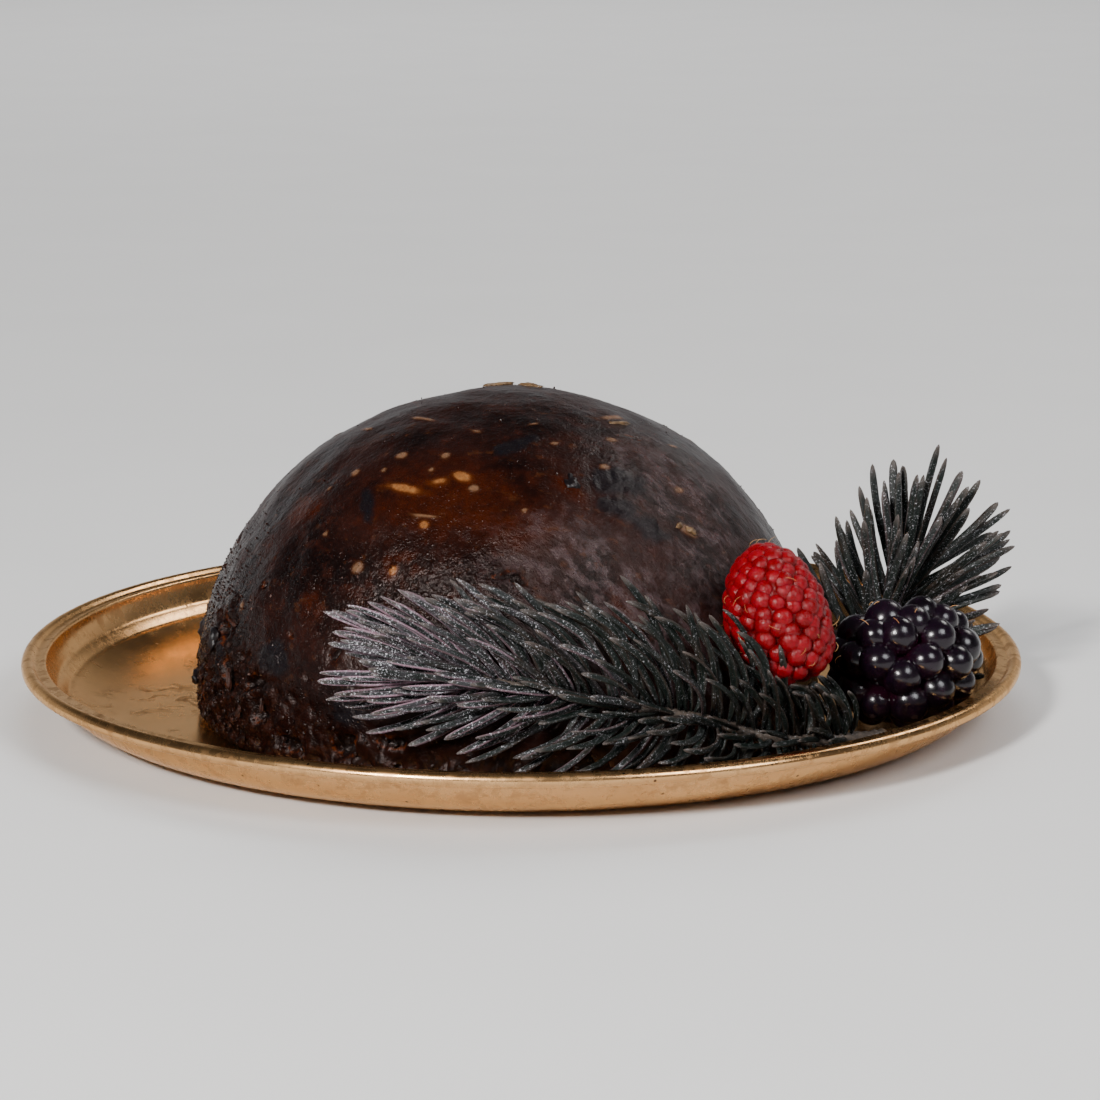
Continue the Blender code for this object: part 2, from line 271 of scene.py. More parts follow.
class Finish:
    """One material as it is built. Most methods add a node and give back its output."""

    def __init__(self, name):
        self.material = bpy.data.materials.new(name)
        self.material.use_nodes = True
        self.shader = self.material.node_tree.nodes["Principled BSDF"]
        place = self.add("TexCoord").outputs["Object"]
        self.place = self.vector("SCALE", {0: place, "Scale": 1.0 / MM})

    def feed(self, socket, value):
        """Links an output to a socket, or sets the socket's own value."""
        if isinstance(value, bpy.types.NodeSocket):
            self.material.node_tree.links.new(value, socket)
        elif isinstance(value, tuple) and len(socket.default_value) == 4:
            socket.default_value = (*value, 1.0)
        else:
            socket.default_value = value

    def look(self, **values):
        """Sets inputs of the shader; an underscore stands for a space in their names."""
        for name, value in values.items():
            self.feed(self.shader.inputs[name.replace("_", " ")], value)

    def add(self, kind, inputs=None, **settings):
        """Adds a node with these settings and inputs, which go by name or by number."""
        node = self.material.node_tree.nodes.new("ShaderNode" + kind)
        for name, value in settings.items():
            setattr(node, name, value)
        for name, value in (inputs or {}).items():
            self.feed(node.inputs[name], value)
        return node

    def vector(self, operation, inputs):
        node = self.add("VectorMath", inputs, operation=operation)
        return node.outputs["Value" if operation == "LENGTH" else "Vector"]

    def number(self, operation, a, b=0.0):
        return self.add("Math", {0: a, 1: b}, operation=operation).outputs[0]

    def times(self, *values):
        product = values[0]
        for value in values[1:]:
            product = self.number("MULTIPLY", product, value)
        return product

    def stretched(self, turn, scale):
        """Coordinates turned by these angles, then made longer along each axis by scale."""
        angles = [math.radians(angle) for angle in turn]
        inputs = {"Vector": self.place, "Rotation": angles, "Scale": scale}
        return self.add("Mapping", inputs, vector_type="TEXTURE").outputs["Vector"]

    def noise(self, size, detail=3.0, roughness=0.55, vector=None, distortion=0.0):
        """Cloudy noise, 0 to 1, with lumps of this size in millimetres."""
        inputs = {"Vector": self.place if vector is None else vector, "Scale": 1.0 / size,
                  "Detail": detail, "Roughness": roughness, "Distortion": distortion}
        return self.add("TexNoise", inputs).outputs[0]

    def cells(self, size):
        """Distance to the nearest of scattered points this far apart, and its random colour."""
        node = self.add("TexVoronoi", {"Vector": self.place, "Scale": 1.0 / size})
        return node.outputs["Distance"], node.outputs["Color"]

    def grains(self, size, share):
        """Separate round grains, 1 at their middles, in this share of cells of this size."""
        distance, colour = self.cells(size)
        chance = self.add("SeparateColor", {0: colour}).outputs[0]
        kept = self.number("LESS_THAN", chance, share)
        return self.times(kept, self.span(distance, 0.42, 0.05))

    def span(self, value, low, high, to_low=0.0, to_high=1.0):
        """The value's place between low and high, kept between to_low and to_high."""
        inputs = {"Value": value, "From Min": low, "From Max": high,
                  "To Min": to_low, "To Max": to_high}
        return self.add("MapRange", inputs, interpolation_type="SMOOTHSTEP").outputs[0]

    def mix(self, share, a, b):
        """Blends colour a into colour b by share."""
        return self.add("Mix", {0: share, 6: a, 7: b}, data_type="RGBA").outputs[2]

    def blend(self, share, a, b):
        """Blends number a into number b by share."""
        return self.add("Mix", {0: share, 2: a, 3: b}, data_type="FLOAT").outputs[0]

    def tones(self, name):
        """The four values that a mesh carries under this name."""
        node = self.add("Attribute", attribute_name=name)
        split = self.add("SeparateColor", {0: node.outputs["Color"]})
        return (*split.outputs, node.outputs["Alpha"])

    def bump(self, height, depth, under=None, strength=1.0):
        """Relief: height 0 to 1 raises the surface by up to depth, in metres."""
        inputs = {"Strength": strength, "Distance": depth, "Height": height}
        if under is not None:
            inputs["Normal"] = under
        return self.add("Bump", inputs).outputs[0]


# ---- plate

def plate_profile():
    """Radius and height from the middle of the floor, over the rim and back underneath."""
    cove_centre = (FLOOR_RADIUS, SHEET + COVE_DEPTH)
    cove_width = PLATE_RADIUS - BAND_WIDTH - FLOOR_RADIUS
    floor = [(radius, SHEET) for radius in np.linspace(0.002, FLOOR_RADIUS - 0.001, 14)]
    inner = arc(cove_centre, (cove_width, COVE_DEPTH), -90, -4, 44)
    inner = [(r, z - sum(CREASE_DEPTH * math.exp(-(((r - crease) / CREASE_WIDTH) ** 2))
                         for crease in CREASE_RADII)) for r, z in inner]
    shoulder = arc((cove_centre[0] + cove_width + LIP, cove_centre[1] - LIP / 1.5),
                   (LIP, LIP), 175, 95, 4)
    bead_centre = (PLATE_RADIUS - BEAD_RADIUS, cove_centre[1] - 0.4 * BEAD_RADIUS)
    bead = arc(bead_centre, (BEAD_RADIUS, BEAD_RADIUS), 150, -140, 18)
    valley = (bead[0][0] - VALLEY[0], bead[0][1] - VALLEY[1])
    wall_width = cove_width + 0.7 * SHEET
    outer = arc(cove_centre, (wall_width, COVE_DEPTH + SHEET), -9, -90, 20)
    base = [(radius, 0.0) for radius in np.linspace(FLOOR_RADIUS - 0.002, 0.002, 8)]
    return [*floor, *inner, *shoulder, valley, *bead, *outer, *base]


def make_plate():
    """The spun plate, a little uneven round its rim as thin beaten sheet is."""
    profile = plate_profile()
    points = [(0.0, 0.0, SHEET)]
    for radius, height in profile:
        for i in range(PLATE_STEPS):
            turn = 2.0 * math.pi * i / PLATE_STEPS
            at_rim = max(0.0, (radius - FLOOR_RADIUS) / (PLATE_RADIUS - FLOOR_RADIUS))
            wave = RIM_WAVE * at_rim * (math.sin(3.0 * turn + 0.8) + 0.6 * math.sin(5.0 * turn))
            points.append((radius * math.cos(turn), radius * math.sin(turn), height + wave))
    points.append((0.0, 0.0, 0.0))
    faces = []
    for i in range(PLATE_STEPS):
        faces.append((0, 1 + i, 1 + (i + 1) % PLATE_STEPS))
        last = 1 + (len(profile) - 1) * PLATE_STEPS
        faces.append((len(points) - 1, last + (i + 1) % PLATE_STEPS, last + i))
    for ring in range(len(profile) - 1):
        for i in range(PLATE_STEPS):
            a = 1 + ring * PLATE_STEPS + i
            b = 1 + ring * PLATE_STEPS + (i + 1) % PLATE_STEPS
            faces.append((a, a + PLATE_STEPS, b + PLATE_STEPS, b))
    mesh = make_mesh("brass_plate", points, faces)
    return piece("brass_plate", mesh, brass_finish(), "brass_sheet", "plate")


def brass_finish():
    """Satin brass: fine spinning lines, dull stains, a worn rim, and a dark blotchy patch of
    painted shadow and reflection of the pudding in the well.
    """
    brass = Finish("satin_brass")
    flat = brass.vector("MULTIPLY", {0: brass.place, 1: (1.0, 1.0, 0.0)})
    radius = brass.vector("LENGTH", {0: flat})
    rings = brass.add("CombineXYZ", {0: radius, 1: brass.times(brass.noise(30.0, 1.0), 0.6)})
    spun = brass.noise(0.35, 4.0, 0.7, rings.outputs[0])
    clouds = brass.noise(14.0, 5.0, 0.6)
    stains = brass.span(brass.noise(6.0, 6.0, 0.72, distortion=0.6), 0.55, 0.72)
    specks = brass.span(brass.cells(5.0)[0], 0.075, 0.035)
    from_pudding_shade = brass.vector("SUBTRACT", {0: flat, 1: PUDDING_SHADE_MIDDLE})
    pudding_shade_reach = brass.vector("LENGTH", {0: from_pudding_shade})
    pudding_shade = brass.times(brass.span(pudding_shade_reach, 16.0, 6.0),
                         brass.span(brass.noise(4.5, 5.0, 0.65, distortion=0.8), 0.48, 0.7))
    worn = brass.times(brass.span(radius, 82.0, 90.0),
                       brass.span(brass.noise(3.5, 6.0, 0.75), 0.45, 0.65))
    colour = brass.mix(brass.span(clouds, 0.3, 0.7), (0.6, 0.33, 0.14), (0.71, 0.415, 0.185))
    colour = brass.mix(brass.times(stains, 0.4), colour, (0.26, 0.125, 0.05))
    colour = brass.mix(brass.times(worn, 0.45), colour, (0.28, 0.12, 0.045))
    # painted shadow and reflection of the pudding: dark and blotchy, in the well by its left foot,
    # and rougher there
    colour = brass.mix(brass.times(pudding_shade, 0.7), colour, (0.13, 0.052, 0.024))
    colour = brass.mix(specks, colour, (0.1, 0.05, 0.025))
    rough = brass.blend(brass.span(clouds, 0.25, 0.75), 0.18, 0.28)
    rough = brass.blend(brass.times(stains, 0.6), rough, 0.4)
    rough = brass.blend(brass.number("MAXIMUM", brass.times(worn, 0.5), pudding_shade), rough, 0.48)
    relief = brass.bump(spun, 0.00002)
    relief = brass.bump(brass.noise(9.0, 2.0), 0.0001, relief, 0.5)
    brass.look(Base_Color=colour, Metallic=1.0, Roughness=rough, Normal=relief)
    brass.look(Specular_Tint=(0.93, 0.8, 0.62))
    return brass.material


# ---- pudding

# What shows on the pudding's skin. Each entry gives the azimuth to the right of the front and
# the elevation of its middle, seen from the pudding's middle, in degrees, then its length and
# width in millimetres and the turn of its length from level, in degrees.
ALMONDS = (
    (-30, 49.8, 8.8, 2.3, -4), (-19.5, 52.2, 4, 2.5, 10), (-13.3, 53.9, 4, 2.6, -25),
    (-19.8, 42.5, 1.9, 1.8, 0), (-24, 33, 1.5, 1.8, 0),
    (150, 40, 8, 2.4, 25), (-120, 34, 7, 2.2, -15), (105, 52, 5, 2.4, 5),
)
SPECKS = (
    (-38.3, 57.8, 2.2, 1.8, 15), (-49.7, 51.7, 1.7, 1.6, 0), (-39.9, 53.4, 1.2, 1.1, 0),
    (-21.6, 59.1, 1.8, 1.6, 60), (-8.9, 51.1, 1.9, 1.5, 0), (-32.3, 32.7, 2.4, 2.2, 40),
    (-61.3, 20.9, 1.5, 1.9, 0), (-24, 55, 1.2, 1.2, 0), (-55, 47, 1.2, 1.1, 0),
    (-19.5, 44.3, 5.5, 0.8, 0), (5, 46, 1.1, 1, 0), (-45, 38, 1, 1, 0),
    (-52, 70, 5, 1.2, 8), (-15, 68, 2, 0.9, -10), (15, 70, 2.6, 0.8, 15),
    (-75, 62, 4, 1, 20), (75, 56, 3, 1.1, -30), (20, 63, 1.4, 1, 0),
    (46.8, 38.7, 4.4, 2.2, -35), (68.2, 68.2, 6, 1.5, -20), (47.1, 62.3, 2.4, 1.5, -10),
    (54, 47, 2.2, 1.6, 0), (33, 55, 2, 1.5, 0), (120, 20, 3, 2.6, 0),
    (-150, 58, 4, 1.6, 30), (170, 18, 2.6, 2.4, 0), (-100, 55, 2.4, 2, 0),
)
RAISINS = (
    (34, 51.5, 12, 7, -10), (29.6, 45.5, 7, 5, -20), (35.9, 40.1, 7, 5.5, -40),
    (-67.1, 11.6, 5, 7, 10), (-37.7, 45.4, 3, 8, 35), (-47, 14, 8, 6, 0),
    (-28, 8, 9, 6, -20), (4, 63, 9, 3.6, 30), (12, 10, 9, 6, 0),
    (52, 26, 8, 6, 20), (100, 30, 9, 6, 30), (140, 15, 8, 6, -30),
    (-140, 20, 9, 7, 15), (-105, 15, 7, 6, 50), (180, 45, 9, 6, 60),
)
AMBERS = (
    (-13, 48, 31, 17, -6), (0, 42, 16, 9, 0), (-23, 33.8, 7, 6, 0),
    (18, 51, 4, 8, 25), (-40.4, 25.1, 5, 6, 0), (130, 40, 20, 14, 0),
    (-58, 42, 9, 7, 20), (24, 26, 5, 7, 0), (60, 20, 8, 10, 0),
)
# Sheens: where the lamps' sheen falls, which the pudding's material also paints lighter and greyer.
SHEENS = (
    (19, 30, 34, 22, -25), (52, 43, 26, 34, -10), (30, 15, 30, 20, 0),
)
CRUMBLES = (
    (-62, 4, 46, 19, 0), (-35, -2, 40, 10, 0), (5, -3, 60, 9, 0),
    (-66, 16, 12, 9, 0), (150, 2, 60, 12, 0), (70, -2, 50, 9, 0),
)
# Holes have a depth in millimetres as a sixth value.
HOLES = (
    (25.7, 20.2, 4.2, 2.2, 20, 1.5), (-32.3, 16.8, 2.8, 2, 60, 1.4),
    (-66.2, 15.9, 5, 4.2, 0, 1.7), (-29.6, 1.8, 5.6, 3.4, -15, 2),
    (0.1, 33.2, 3.4, 1.1, 12, 1.5), (3.4, 32.2, 5, 1.3, -32, 1.7),
    (-61, 9, 2.4, 5, 15, 0.8), (-50, 3, 3, 2, 0, 1.2),
    (58, 62, 5, 0.9, -30, 0.25), (8, 8, 4, 2.2, 20, 1.4),
    (110, 8, 5, 3, 0, 1.6), (165, 30, 4, 2.6, 40, 1.4),
    (-120, 8, 4.6, 3, 0, 1.6), (-160, 4, 5, 3, 0, 1.8),
    (-88, 30, 3, 2, 0, 1), (76, 20, 3.4, 2.4, 0, 1.3),
    (-52, 9, 5, 3, 35, 1.3), (-41, 0, 6, 2.2, -8, 1.5),
    (-75, 4, 3, 5, 0, 1.2), (-20, 3, 5, 2, -10, 1.3),
    (-44, 19, 2, 1.6, 0, 1), (-56, 26, 1.6, 1.4, 0, 0.8),
)


def toward(azimuth, elevation):
    """Unit vector from the pudding's middle, azimuth in degrees to the right of the front."""
    a, e = math.radians(azimuth), math.radians(elevation)
    return Vector((math.sin(a) * math.cos(e), -math.cos(a) * math.cos(e), math.sin(e)))


def patch(directions, waver, spot, edge):
    """How far each direction lies in an oval spot: 1 inside, 0 outside, softened by edge."""
    azimuth, elevation, length, width, turn = spot[:5]
    middle = np.array(toward(azimuth, elevation))
    level = np.array(toward(azimuth + 90.0, 0.0))
    rise = np.cross(middle, level)
    rise *= math.copysign(1.0, rise[2])
    scale = PUDDING_RADIUS / MM
    x = directions @ level * scale
    y = directions @ rise * scale
    c, s = math.cos(math.radians(turn)), math.sin(math.radians(turn))
    reach = np.hypot((x * c + y * s) / (0.5 * length), (y * c - x * s) / (0.5 * width))
    inside = smooth(1.0 + edge, 1.0 - edge, reach + waver)
    return np.where(directions @ middle > 0.2, inside, 0.0)


def patches(directions, waver, spots, edge):
    """The strongest of several spots at each direction."""
    found = np.zeros(len(directions))
    for spot in spots:
        found = np.maximum(found, patch(directions, waver, spot, edge))
    return found


def pudding_form():
    """Points, outward directions and faces of the smooth pudding, as an even grid of squares."""
    line = np.linspace(-1.0, 1.0, PUDDING_GRID + 1)
    a, b = (axis.ravel() for axis in np.meshgrid(line, line, indexing="ij"))
    wide = np.abs(a) > np.abs(b)
    radius = np.where(wide, a, b)
    safe_a, safe_b = np.where(a == 0.0, 1.0, a), np.where(b == 0.0, 1.0, b)
    turn = np.where(wide, 0.25 * math.pi * b / safe_a, math.pi * (0.5 - 0.25 * a / safe_b))
    share = np.abs(radius)
    polar = np.arccos(1.0 - np.minimum(share / DOME_SHARE, 1.0) ** 2)
    below = np.maximum(0.0, (share - DOME_SHARE) / (1.0 - DOME_SHARE))
    drawn_in = FOOT_INSET * np.maximum(0.0, 2.0 * below - 1.0) ** 2
    out = PUDDING_RADIUS * np.sin(polar) - drawn_in
    drop = (PUDDING_MIDDLE.z - PUDDING_FOOT) * below
    height = PUDDING_HEIGHT * np.cos(polar) - drop
    sign = np.where(radius < 0.0, -1.0, 1.0)
    x, y = sign * np.cos(turn), sign * np.sin(turn)
    points = np.stack([out * x, out * y, height], axis=1)
    outward = np.stack([np.sin(polar) * x, np.sin(polar) * y, np.cos(polar)], axis=1)
    row = PUDDING_GRID + 1
    faces = []
    for i in range(PUDDING_GRID):
        for j in range(PUDDING_GRID):
            corner = i * row + j
            faces.append((corner, corner + row, corner + row + 1, corner + 1))
    last = PUDDING_GRID * row
    edge = [*range(PUDDING_GRID), *range(PUDDING_GRID, last, row),
            *range(last + PUDDING_GRID, last, -1), *range(last, 0, -row)]
    faces.append(tuple(edge))
    return points, outward, faces, below


def make_pudding():
    """The pudding: a smooth steamed top that gets crumbly and pitted lower down."""
    points, outward, faces, below = pudding_form()
    directions = points / np.linalg.norm(points, axis=1)[:, None]
    waver = 0.38 * noise_at(points, 2.6 * MM, 3.0) + 0.15 * noise_at(points, 1.0 * MM, 5.0)
    almond = patches(directions, 1.1 * waver, ALMONDS, 0.7)
    cream = patches(directions, 1.1 * waver, SPECKS, 0.65)
    raisin = patches(directions, 1.3 * waver, RAISINS, 0.22)
    amber = patches(directions, 1.2 * waver, AMBERS, 0.6)
    sheen = patches(directions, 1.2 * waver, SHEENS, 0.6)
    crumble = patches(directions, 1.6 * waver, CRUMBLES, 0.35)
    low = smooth(46.0 * MM, 12.0 * MM, points[:, 2])
    front = smooth(0.55, -0.35, directions @ np.array(toward(38.0, 20.0)))
    grain = np.clip(0.22 + 0.95 * low * front - 0.4 * sheen, 0.0, 1.0)
    grain = np.maximum(grain, patch(directions, waver, (-18.0, 28.0, 46.0, 22.0, 0.0), 0.8))
    pit = np.zeros(len(points))
    sunk = np.zeros(len(points))
    for hole in HOLES:
        inside = patch(directions, 2.2 * waver, hole, 0.4)
        sunk = np.maximum(sunk, inside * hole[5] * MM)
        pit = np.maximum(pit, inside)

    lumps = LUMP_HEIGHT * noise_at(points + np.array((0.0, 0.0, PUDDING_MIDDLE.z)), LUMP_SIZE)
    medium = 0.36 * MM * noise_at(points, 7.0 * MM, 11.0)
    fine = 0.13 * MM * rough_at(points, 1.8 * MM, 17.0, 3) * (0.5 + 0.5 * low)
    broken = crumble * MM * (1.25 * rough_at(points, 3.0 * MM, 23.0) - 0.3)
    beads = 0.1 * MM * grain * np.maximum(0.0, noise_at(points, 1.0 * MM, 29.0))
    streak = np.array(toward(*STREAK_TURN))
    streaks = points - 0.72 * (points @ streak)[:, None] * streak
    beads += 0.2 * MM * sheen * rough_at(streaks, 1.6 * MM, 37.0, 2)
    beads += 0.4 * MM * sheen * noise_at(streaks, 5.0 * MM, 41.0)
    held = smooth(1.0, 0.75, below)
    rise = lumps + medium + fine + broken + beads
    wrinkles = raisin * (0.4 - noise_at(points, 1.6 * MM, 31.0))
    rise += 0.16 * MM * (almond + cream) + 0.35 * MM * wrinkles
    rise -= sunk
    points = points + outward * (rise * held)[:, None] + np.array(PUDDING_MIDDLE)
    tones = {
        "fruit": np.stack([almond, cream, raisin, amber], axis=1),
        "skin": np.stack([sheen, grain, pit, crumble], axis=1),
    }
    mesh = make_mesh("pudding_body", points, faces, tones)
    piece("pudding_body", mesh, pudding_finish(), "dark_pudding", "pudding")
    likely = (grain + 0.01) ** 3 * (1.0 - pit) * (1.0 - 0.7 * amber) * (below < 0.8)
    make_beads(points, likely)


def make_beads(points, likely):
    """Fine beads of syrup and sugar on the skin, whose flat facets catch the light."""
    chance = np.random.default_rng(7)
    chosen = chance.choice(len(points), SYRUP_BEADS, replace=False, p=likely / likely.sum())
    radii = BEAD_SIZES[0] + (BEAD_SIZES[1] - BEAD_SIZES[0]) * chance.random(SYRUP_BEADS) ** 3
    ball, ball_faces = unit_ball(1)
    centres = points[chosen] + chance.normal(0.0, 0.08 * MM, (SYRUP_BEADS, 3))
    stretch = chance.uniform(0.7, 1.3, (SYRUP_BEADS, 1, 3))
    spread = (centres[:, None, :] + ball[None] * stretch * radii[:, None, None]).reshape(-1, 3)
    starts = np.arange(SYRUP_BEADS)[:, None, None] * len(ball)
    faces = (np.array(ball_faces)[None] + starts).reshape(-1, 3).tolist()
    tone = np.repeat(chance.random((SYRUP_BEADS, 4)), len(ball), axis=0)
    mesh = make_mesh("syrup_beads", spread, faces, {"tone": tone})
    mesh.shade_flat()
    return piece("syrup_beads", mesh, bead_finish(), "dark_pudding")


def bead_finish():
    """Brown syrup, here and there with a pale grain of sugar in it."""
    syrup = Finish("syrup_bead")
    pale, _, _, _ = syrup.tones("tone")
    colour = syrup.mix(syrup.noise(1.5), (0.004, 0.0011, 0.0007), (0.03, 0.007, 0.0028))
    colour = syrup.mix(syrup.span(pale, 0.88, 0.96, 0.0, 0.8), colour, (0.1, 0.062, 0.055))
    syrup.look(Base_Color=colour, Roughness=syrup.span(syrup.noise(3.0), 0.3, 0.7, 0.1, 0.2),
               Normal=syrup.bump(syrup.noise(0.2), 0.00002), IOR=1.48)
    return syrup.material


def pudding_finish():
    """Dark sticky pudding: red-brown depths, sugar grain, a painted greyish sheen and fruit in its
    skin.
    """
    skin = Finish("dark_pudding")
    almond, cream, raisin, amber = skin.tones("fruit")
    sheen, grain, pit, crumble = skin.tones("skin")
    broad = skin.noise(11.0, 4.0)
    mottle = skin.noise(3.2, 5.0, 0.65)
    fine = skin.noise(0.8, 3.0, 0.6)
    colour = skin.mix(skin.span(broad, 0.35, 0.68), (0.003, 0.0009, 0.0008), (0.013, 0.003, 0.0018))
    colour = skin.mix(skin.span(mottle, 0.52, 0.75), colour, (0.021, 0.0046, 0.0024))
    glow = skin.times(amber, skin.span(mottle, 0.25, 0.65, 0.45, 1.0))
    colour = skin.mix(glow, colour, (0.027, 0.0043, 0.0009))
    # painted sheen: lighter, greyer streaks where the broad lamp reflects; the same mask also
    # lowers the roughness
    frost_film_and_painted_sheen = skin.span(skin.noise(2.4, 5.0, 0.7, skin.stretched((0, 50, 0), (1.8, 1.0, 1.0))),
                     0.45, 0.63)
    frost_film_and_painted_sheen = skin.times(sheen, frost_film_and_painted_sheen)
    colour = skin.mix(skin.times(frost_film_and_painted_sheen, 0.85), colour, (0.056, 0.035, 0.036))
    bloom = skin.span(skin.noise(1.1, 4.0, 0.7), 0.5, 0.72)
    colour = skin.mix(skin.times(bloom, 0.35), colour, (0.034, 0.0085, 0.005))
    flecks = skin.span(skin.noise(1.9, 4.0, 0.65, skin.stretched((0, 8, 0), (1.8, 1.0, 1.0))),
                       0.6, 0.68)
    colour = skin.mix(skin.times(flecks, 0.6), colour, (0.042, 0.012, 0.0034))
    crumbs = skin.span(skin.noise(1.7, 5.0, 0.7), 0.47, 0.62)
    depths = skin.times(grain, skin.span(mottle, 0.58, 0.4, 0.15, 0.85))
    colour = skin.mix(depths, colour, (0.0022, 0.0007, 0.0006))
    colour = skin.mix(skin.times(crumble, 0.55), colour, (0.0032, 0.0011, 0.0009))
    colour = skin.mix(skin.times(crumble, crumbs, 0.4), colour, (0.033, 0.0062, 0.0012))
    colour = skin.mix(skin.times(raisin, 0.9), colour, (0.004, 0.0034, 0.0046))
    kernel = skin.times(skin.span(almond, 0.5, 1.0), skin.span(fine, 0.25, 0.65, 0.45, 1.0))
    nut = skin.mix(kernel, (0.06, 0.013, 0.0016), (0.215, 0.088, 0.028))
    colour = skin.mix(skin.span(almond, 0.0, 0.95), colour, nut)
    seed = skin.mix(skin.span(cream, 0.35, 1.0), (0.035, 0.01, 0.003), (0.125, 0.066, 0.036))
    colour = skin.mix(skin.span(cream, 0.0, 0.6, 0.0, 0.9), colour, seed)
    lip = skin.times(skin.span(pit, 0.02, 0.25), skin.span(pit, 0.75, 0.35), crumbs)
    colour = skin.mix(lip, colour, (0.075, 0.015, 0.002))
    # painted shade inside the holes
    colour = skin.mix(skin.span(pit, 0.35, 0.9, 0.0, 0.9), colour, (0.003, 0.0012, 0.001))
    rough = skin.blend(skin.span(broad, 0.3, 0.7), 0.3, 0.42)
    rough = skin.blend(sheen, rough, 0.4)
    rough = skin.blend(frost_film_and_painted_sheen, rough, 0.24)
    rough = skin.blend(skin.times(grain, 0.8), rough, 0.2)
    rough = skin.blend(skin.times(crumble, skin.span(crumbs, 0.0, 1.0, 0.45, 0.9)), rough, 0.5)
    rough = skin.blend(amber, rough, 0.26)
    sugar = skin.number("MAXIMUM", skin.grains(0.5, 0.24), skin.grains(0.8, 0.12))
    relief = skin.bump(sugar, 0.0002, None, skin.blend(grain, 0.2, 1.0))
    relief = skin.bump(skin.noise(0.28, 1.0, 0.5), 0.00014, relief, skin.blend(grain, 0.15, 1.0))
    relief = skin.bump(skin.noise(1.1, 2.0, 0.5), 0.0003, relief, skin.blend(grain, 0.1, 0.9))
    streak = skin.noise(0.7, 4.0, 0.7, skin.stretched((0, 50, 0), (3.2, 1.0, 1.0)))
    relief = skin.bump(streak, 0.0005, relief, skin.blend(sheen, 0.1, 1.0))
    relief = skin.bump(fine, 0.0002, relief, 0.7)
    rough = skin.blend(skin.times(sugar, grain), rough, 0.13)
    skin.look(Base_Color=colour, Roughness=rough, Normal=relief)
    skin.look(Specular_IOR_Level=0.24, Specular_Tint=(1.0, 0.84, 0.8))
    skin.look(Subsurface_Weight=0.1, Subsurface_Scale=0.0012, Subsurface_Radius=(1.0, 0.3, 0.15))
    skin.look(IOR=1.42)
    return skin.material


def on_pudding(azimuth, elevation, lift=0.0):
    """Point on the pudding's skin in this direction, or lift above it, and the way outward."""
    direction = toward(azimuth, elevation)
    side = math.hypot(direction.x, direction.y)
    reach = 1.0 / math.hypot(side / PUDDING_RADIUS, direction.z / PUDDING_HEIGHT)
    if elevation < 0.0:
        reach = PUDDING_RADIUS / side
    outward = Vector((direction.x / PUDDING_RADIUS ** 2, direction.y / PUDDING_RADIUS ** 2,
                      max(0.0, direction.z) / PUDDING_HEIGHT ** 2)).normalized()
    return PUDDING_MIDDLE + direction * reach + outward * lift, outward


def add_bit(heap, rng, ball, azimuth, elevation, size, tone, lift=0.2, turn=0.0):
    """A rough lump half sunk in the pudding's skin. size is its three half-sizes in millimetres."""
    points, faces = ball
    place, outward = on_pudding(azimuth, elevation, lift * size[2] * MM)
    seed = rng.uniform(0.0, 50.0)
    rough = 1.0 + 0.7 * noise_at(points, 0.9, seed) + 0.35 * noise_at(points, 0.35, seed)
    level = Vector(toward(azimuth + 90.0, 0.0))
    rise = outward.cross(level)
    c, s = math.cos(math.radians(turn)), math.sin(math.radians(turn))
    axes = np.array([level * c + rise * s, rise * c - level * s, outward])
    shaped = (points * rough[:, None] * np.array(size) * MM) @ axes + np.array(place)
    heap.add(shaped, faces, [(*tone, rng.random())] * len(points))


RAISIN_TONE = (0.0, 0.0, 0.0)
CRUMB_TONE = (1.0, 0.0, 0.0)
ALMOND_TONE = (0.0, 1.0, 0.0)
DARK_CRUMB_TONE = (0.35, 0.0, 0.0)


def make_bits():
    """What stands proud of the pudding: raisins, almond slivers and crumbs round its foot."""
    rng = random.Random(12)
    ball = unit_ball(3)
    small = unit_ball(2)
    heap = Heap()
    proud = (
        (-92.0, 10.0, (1.0, 1.9, 0.9), RAISIN_TONE, 0.0, 10.0),
        (-86.0, 2.0, (0.9, 1.2, 0.9), RAISIN_TONE, 0.2, 30.0),
        (-70.0, 13.0, (1.6, 2.3, 0.9), RAISIN_TONE, 0.0, 0.0),
        (-60.0, 7.5, (0.4, 2.2, 0.5), CRUMB_TONE, 0.0, 12.0),
        (-63.5, 17.5, (1.7, 0.4, 0.5), CRUMB_TONE, 0.1, -5.0),
        (-55.5, 3.0, (0.5, 1.6, 0.4), CRUMB_TONE, 0.0, -20.0),
        (-48.5, 5.5, (0.3, 1.3, 0.4), CRUMB_TONE, 0.0, 10.0),
        (-170.0, 80.0, (2.6, 0.9, 0.5), ALMOND_TONE, 0.7, 5.0),
        (152.0, 81.5, (2.9, 0.9, 0.5), ALMOND_TONE, 0.7, -5.0),
        (66.0, 66.0, (2.6, 0.6, 0.4), ALMOND_TONE, -0.2, -24.0),
        (47.5, 38.4, (1.0, 0.7, 0.4), ALMOND_TONE, 0.2, -35.0),
        (44.8, 39.8, (0.7, 0.5, 0.4), ALMOND_TONE, 0.2, 0.0),
        (20.0, 52.5, (1.6, 2.2, 0.8), RAISIN_TONE, 0.0, 10.0),
    )
    for azimuth, elevation, size, tone, lift, turn in proud:
        add_bit(heap, rng, ball, azimuth, elevation, size, tone, lift, turn)
    for i in range(260):
        azimuth = rng.uniform(-180.0, 180.0) if i % 3 else rng.uniform(-100.0, 20.0)
        size = rng.uniform(0.2, 0.6)
        tone = CRUMB_TONE if rng.random() < 0.2 else DARK_CRUMB_TONE
        shape = (size, size * rng.uniform(0.4, 1.0), size * rng.uniform(0.3, 0.5))
        add_bit(heap, rng, small, azimuth, rng.uniform(-3.5, 5.0), shape, tone, -0.2,
                rng.uniform(0.0, 180.0))
    mesh = heap.mesh("pudding_bits")
    return piece("pudding_bits", mesh, bits_finish(), "dark_pudding")


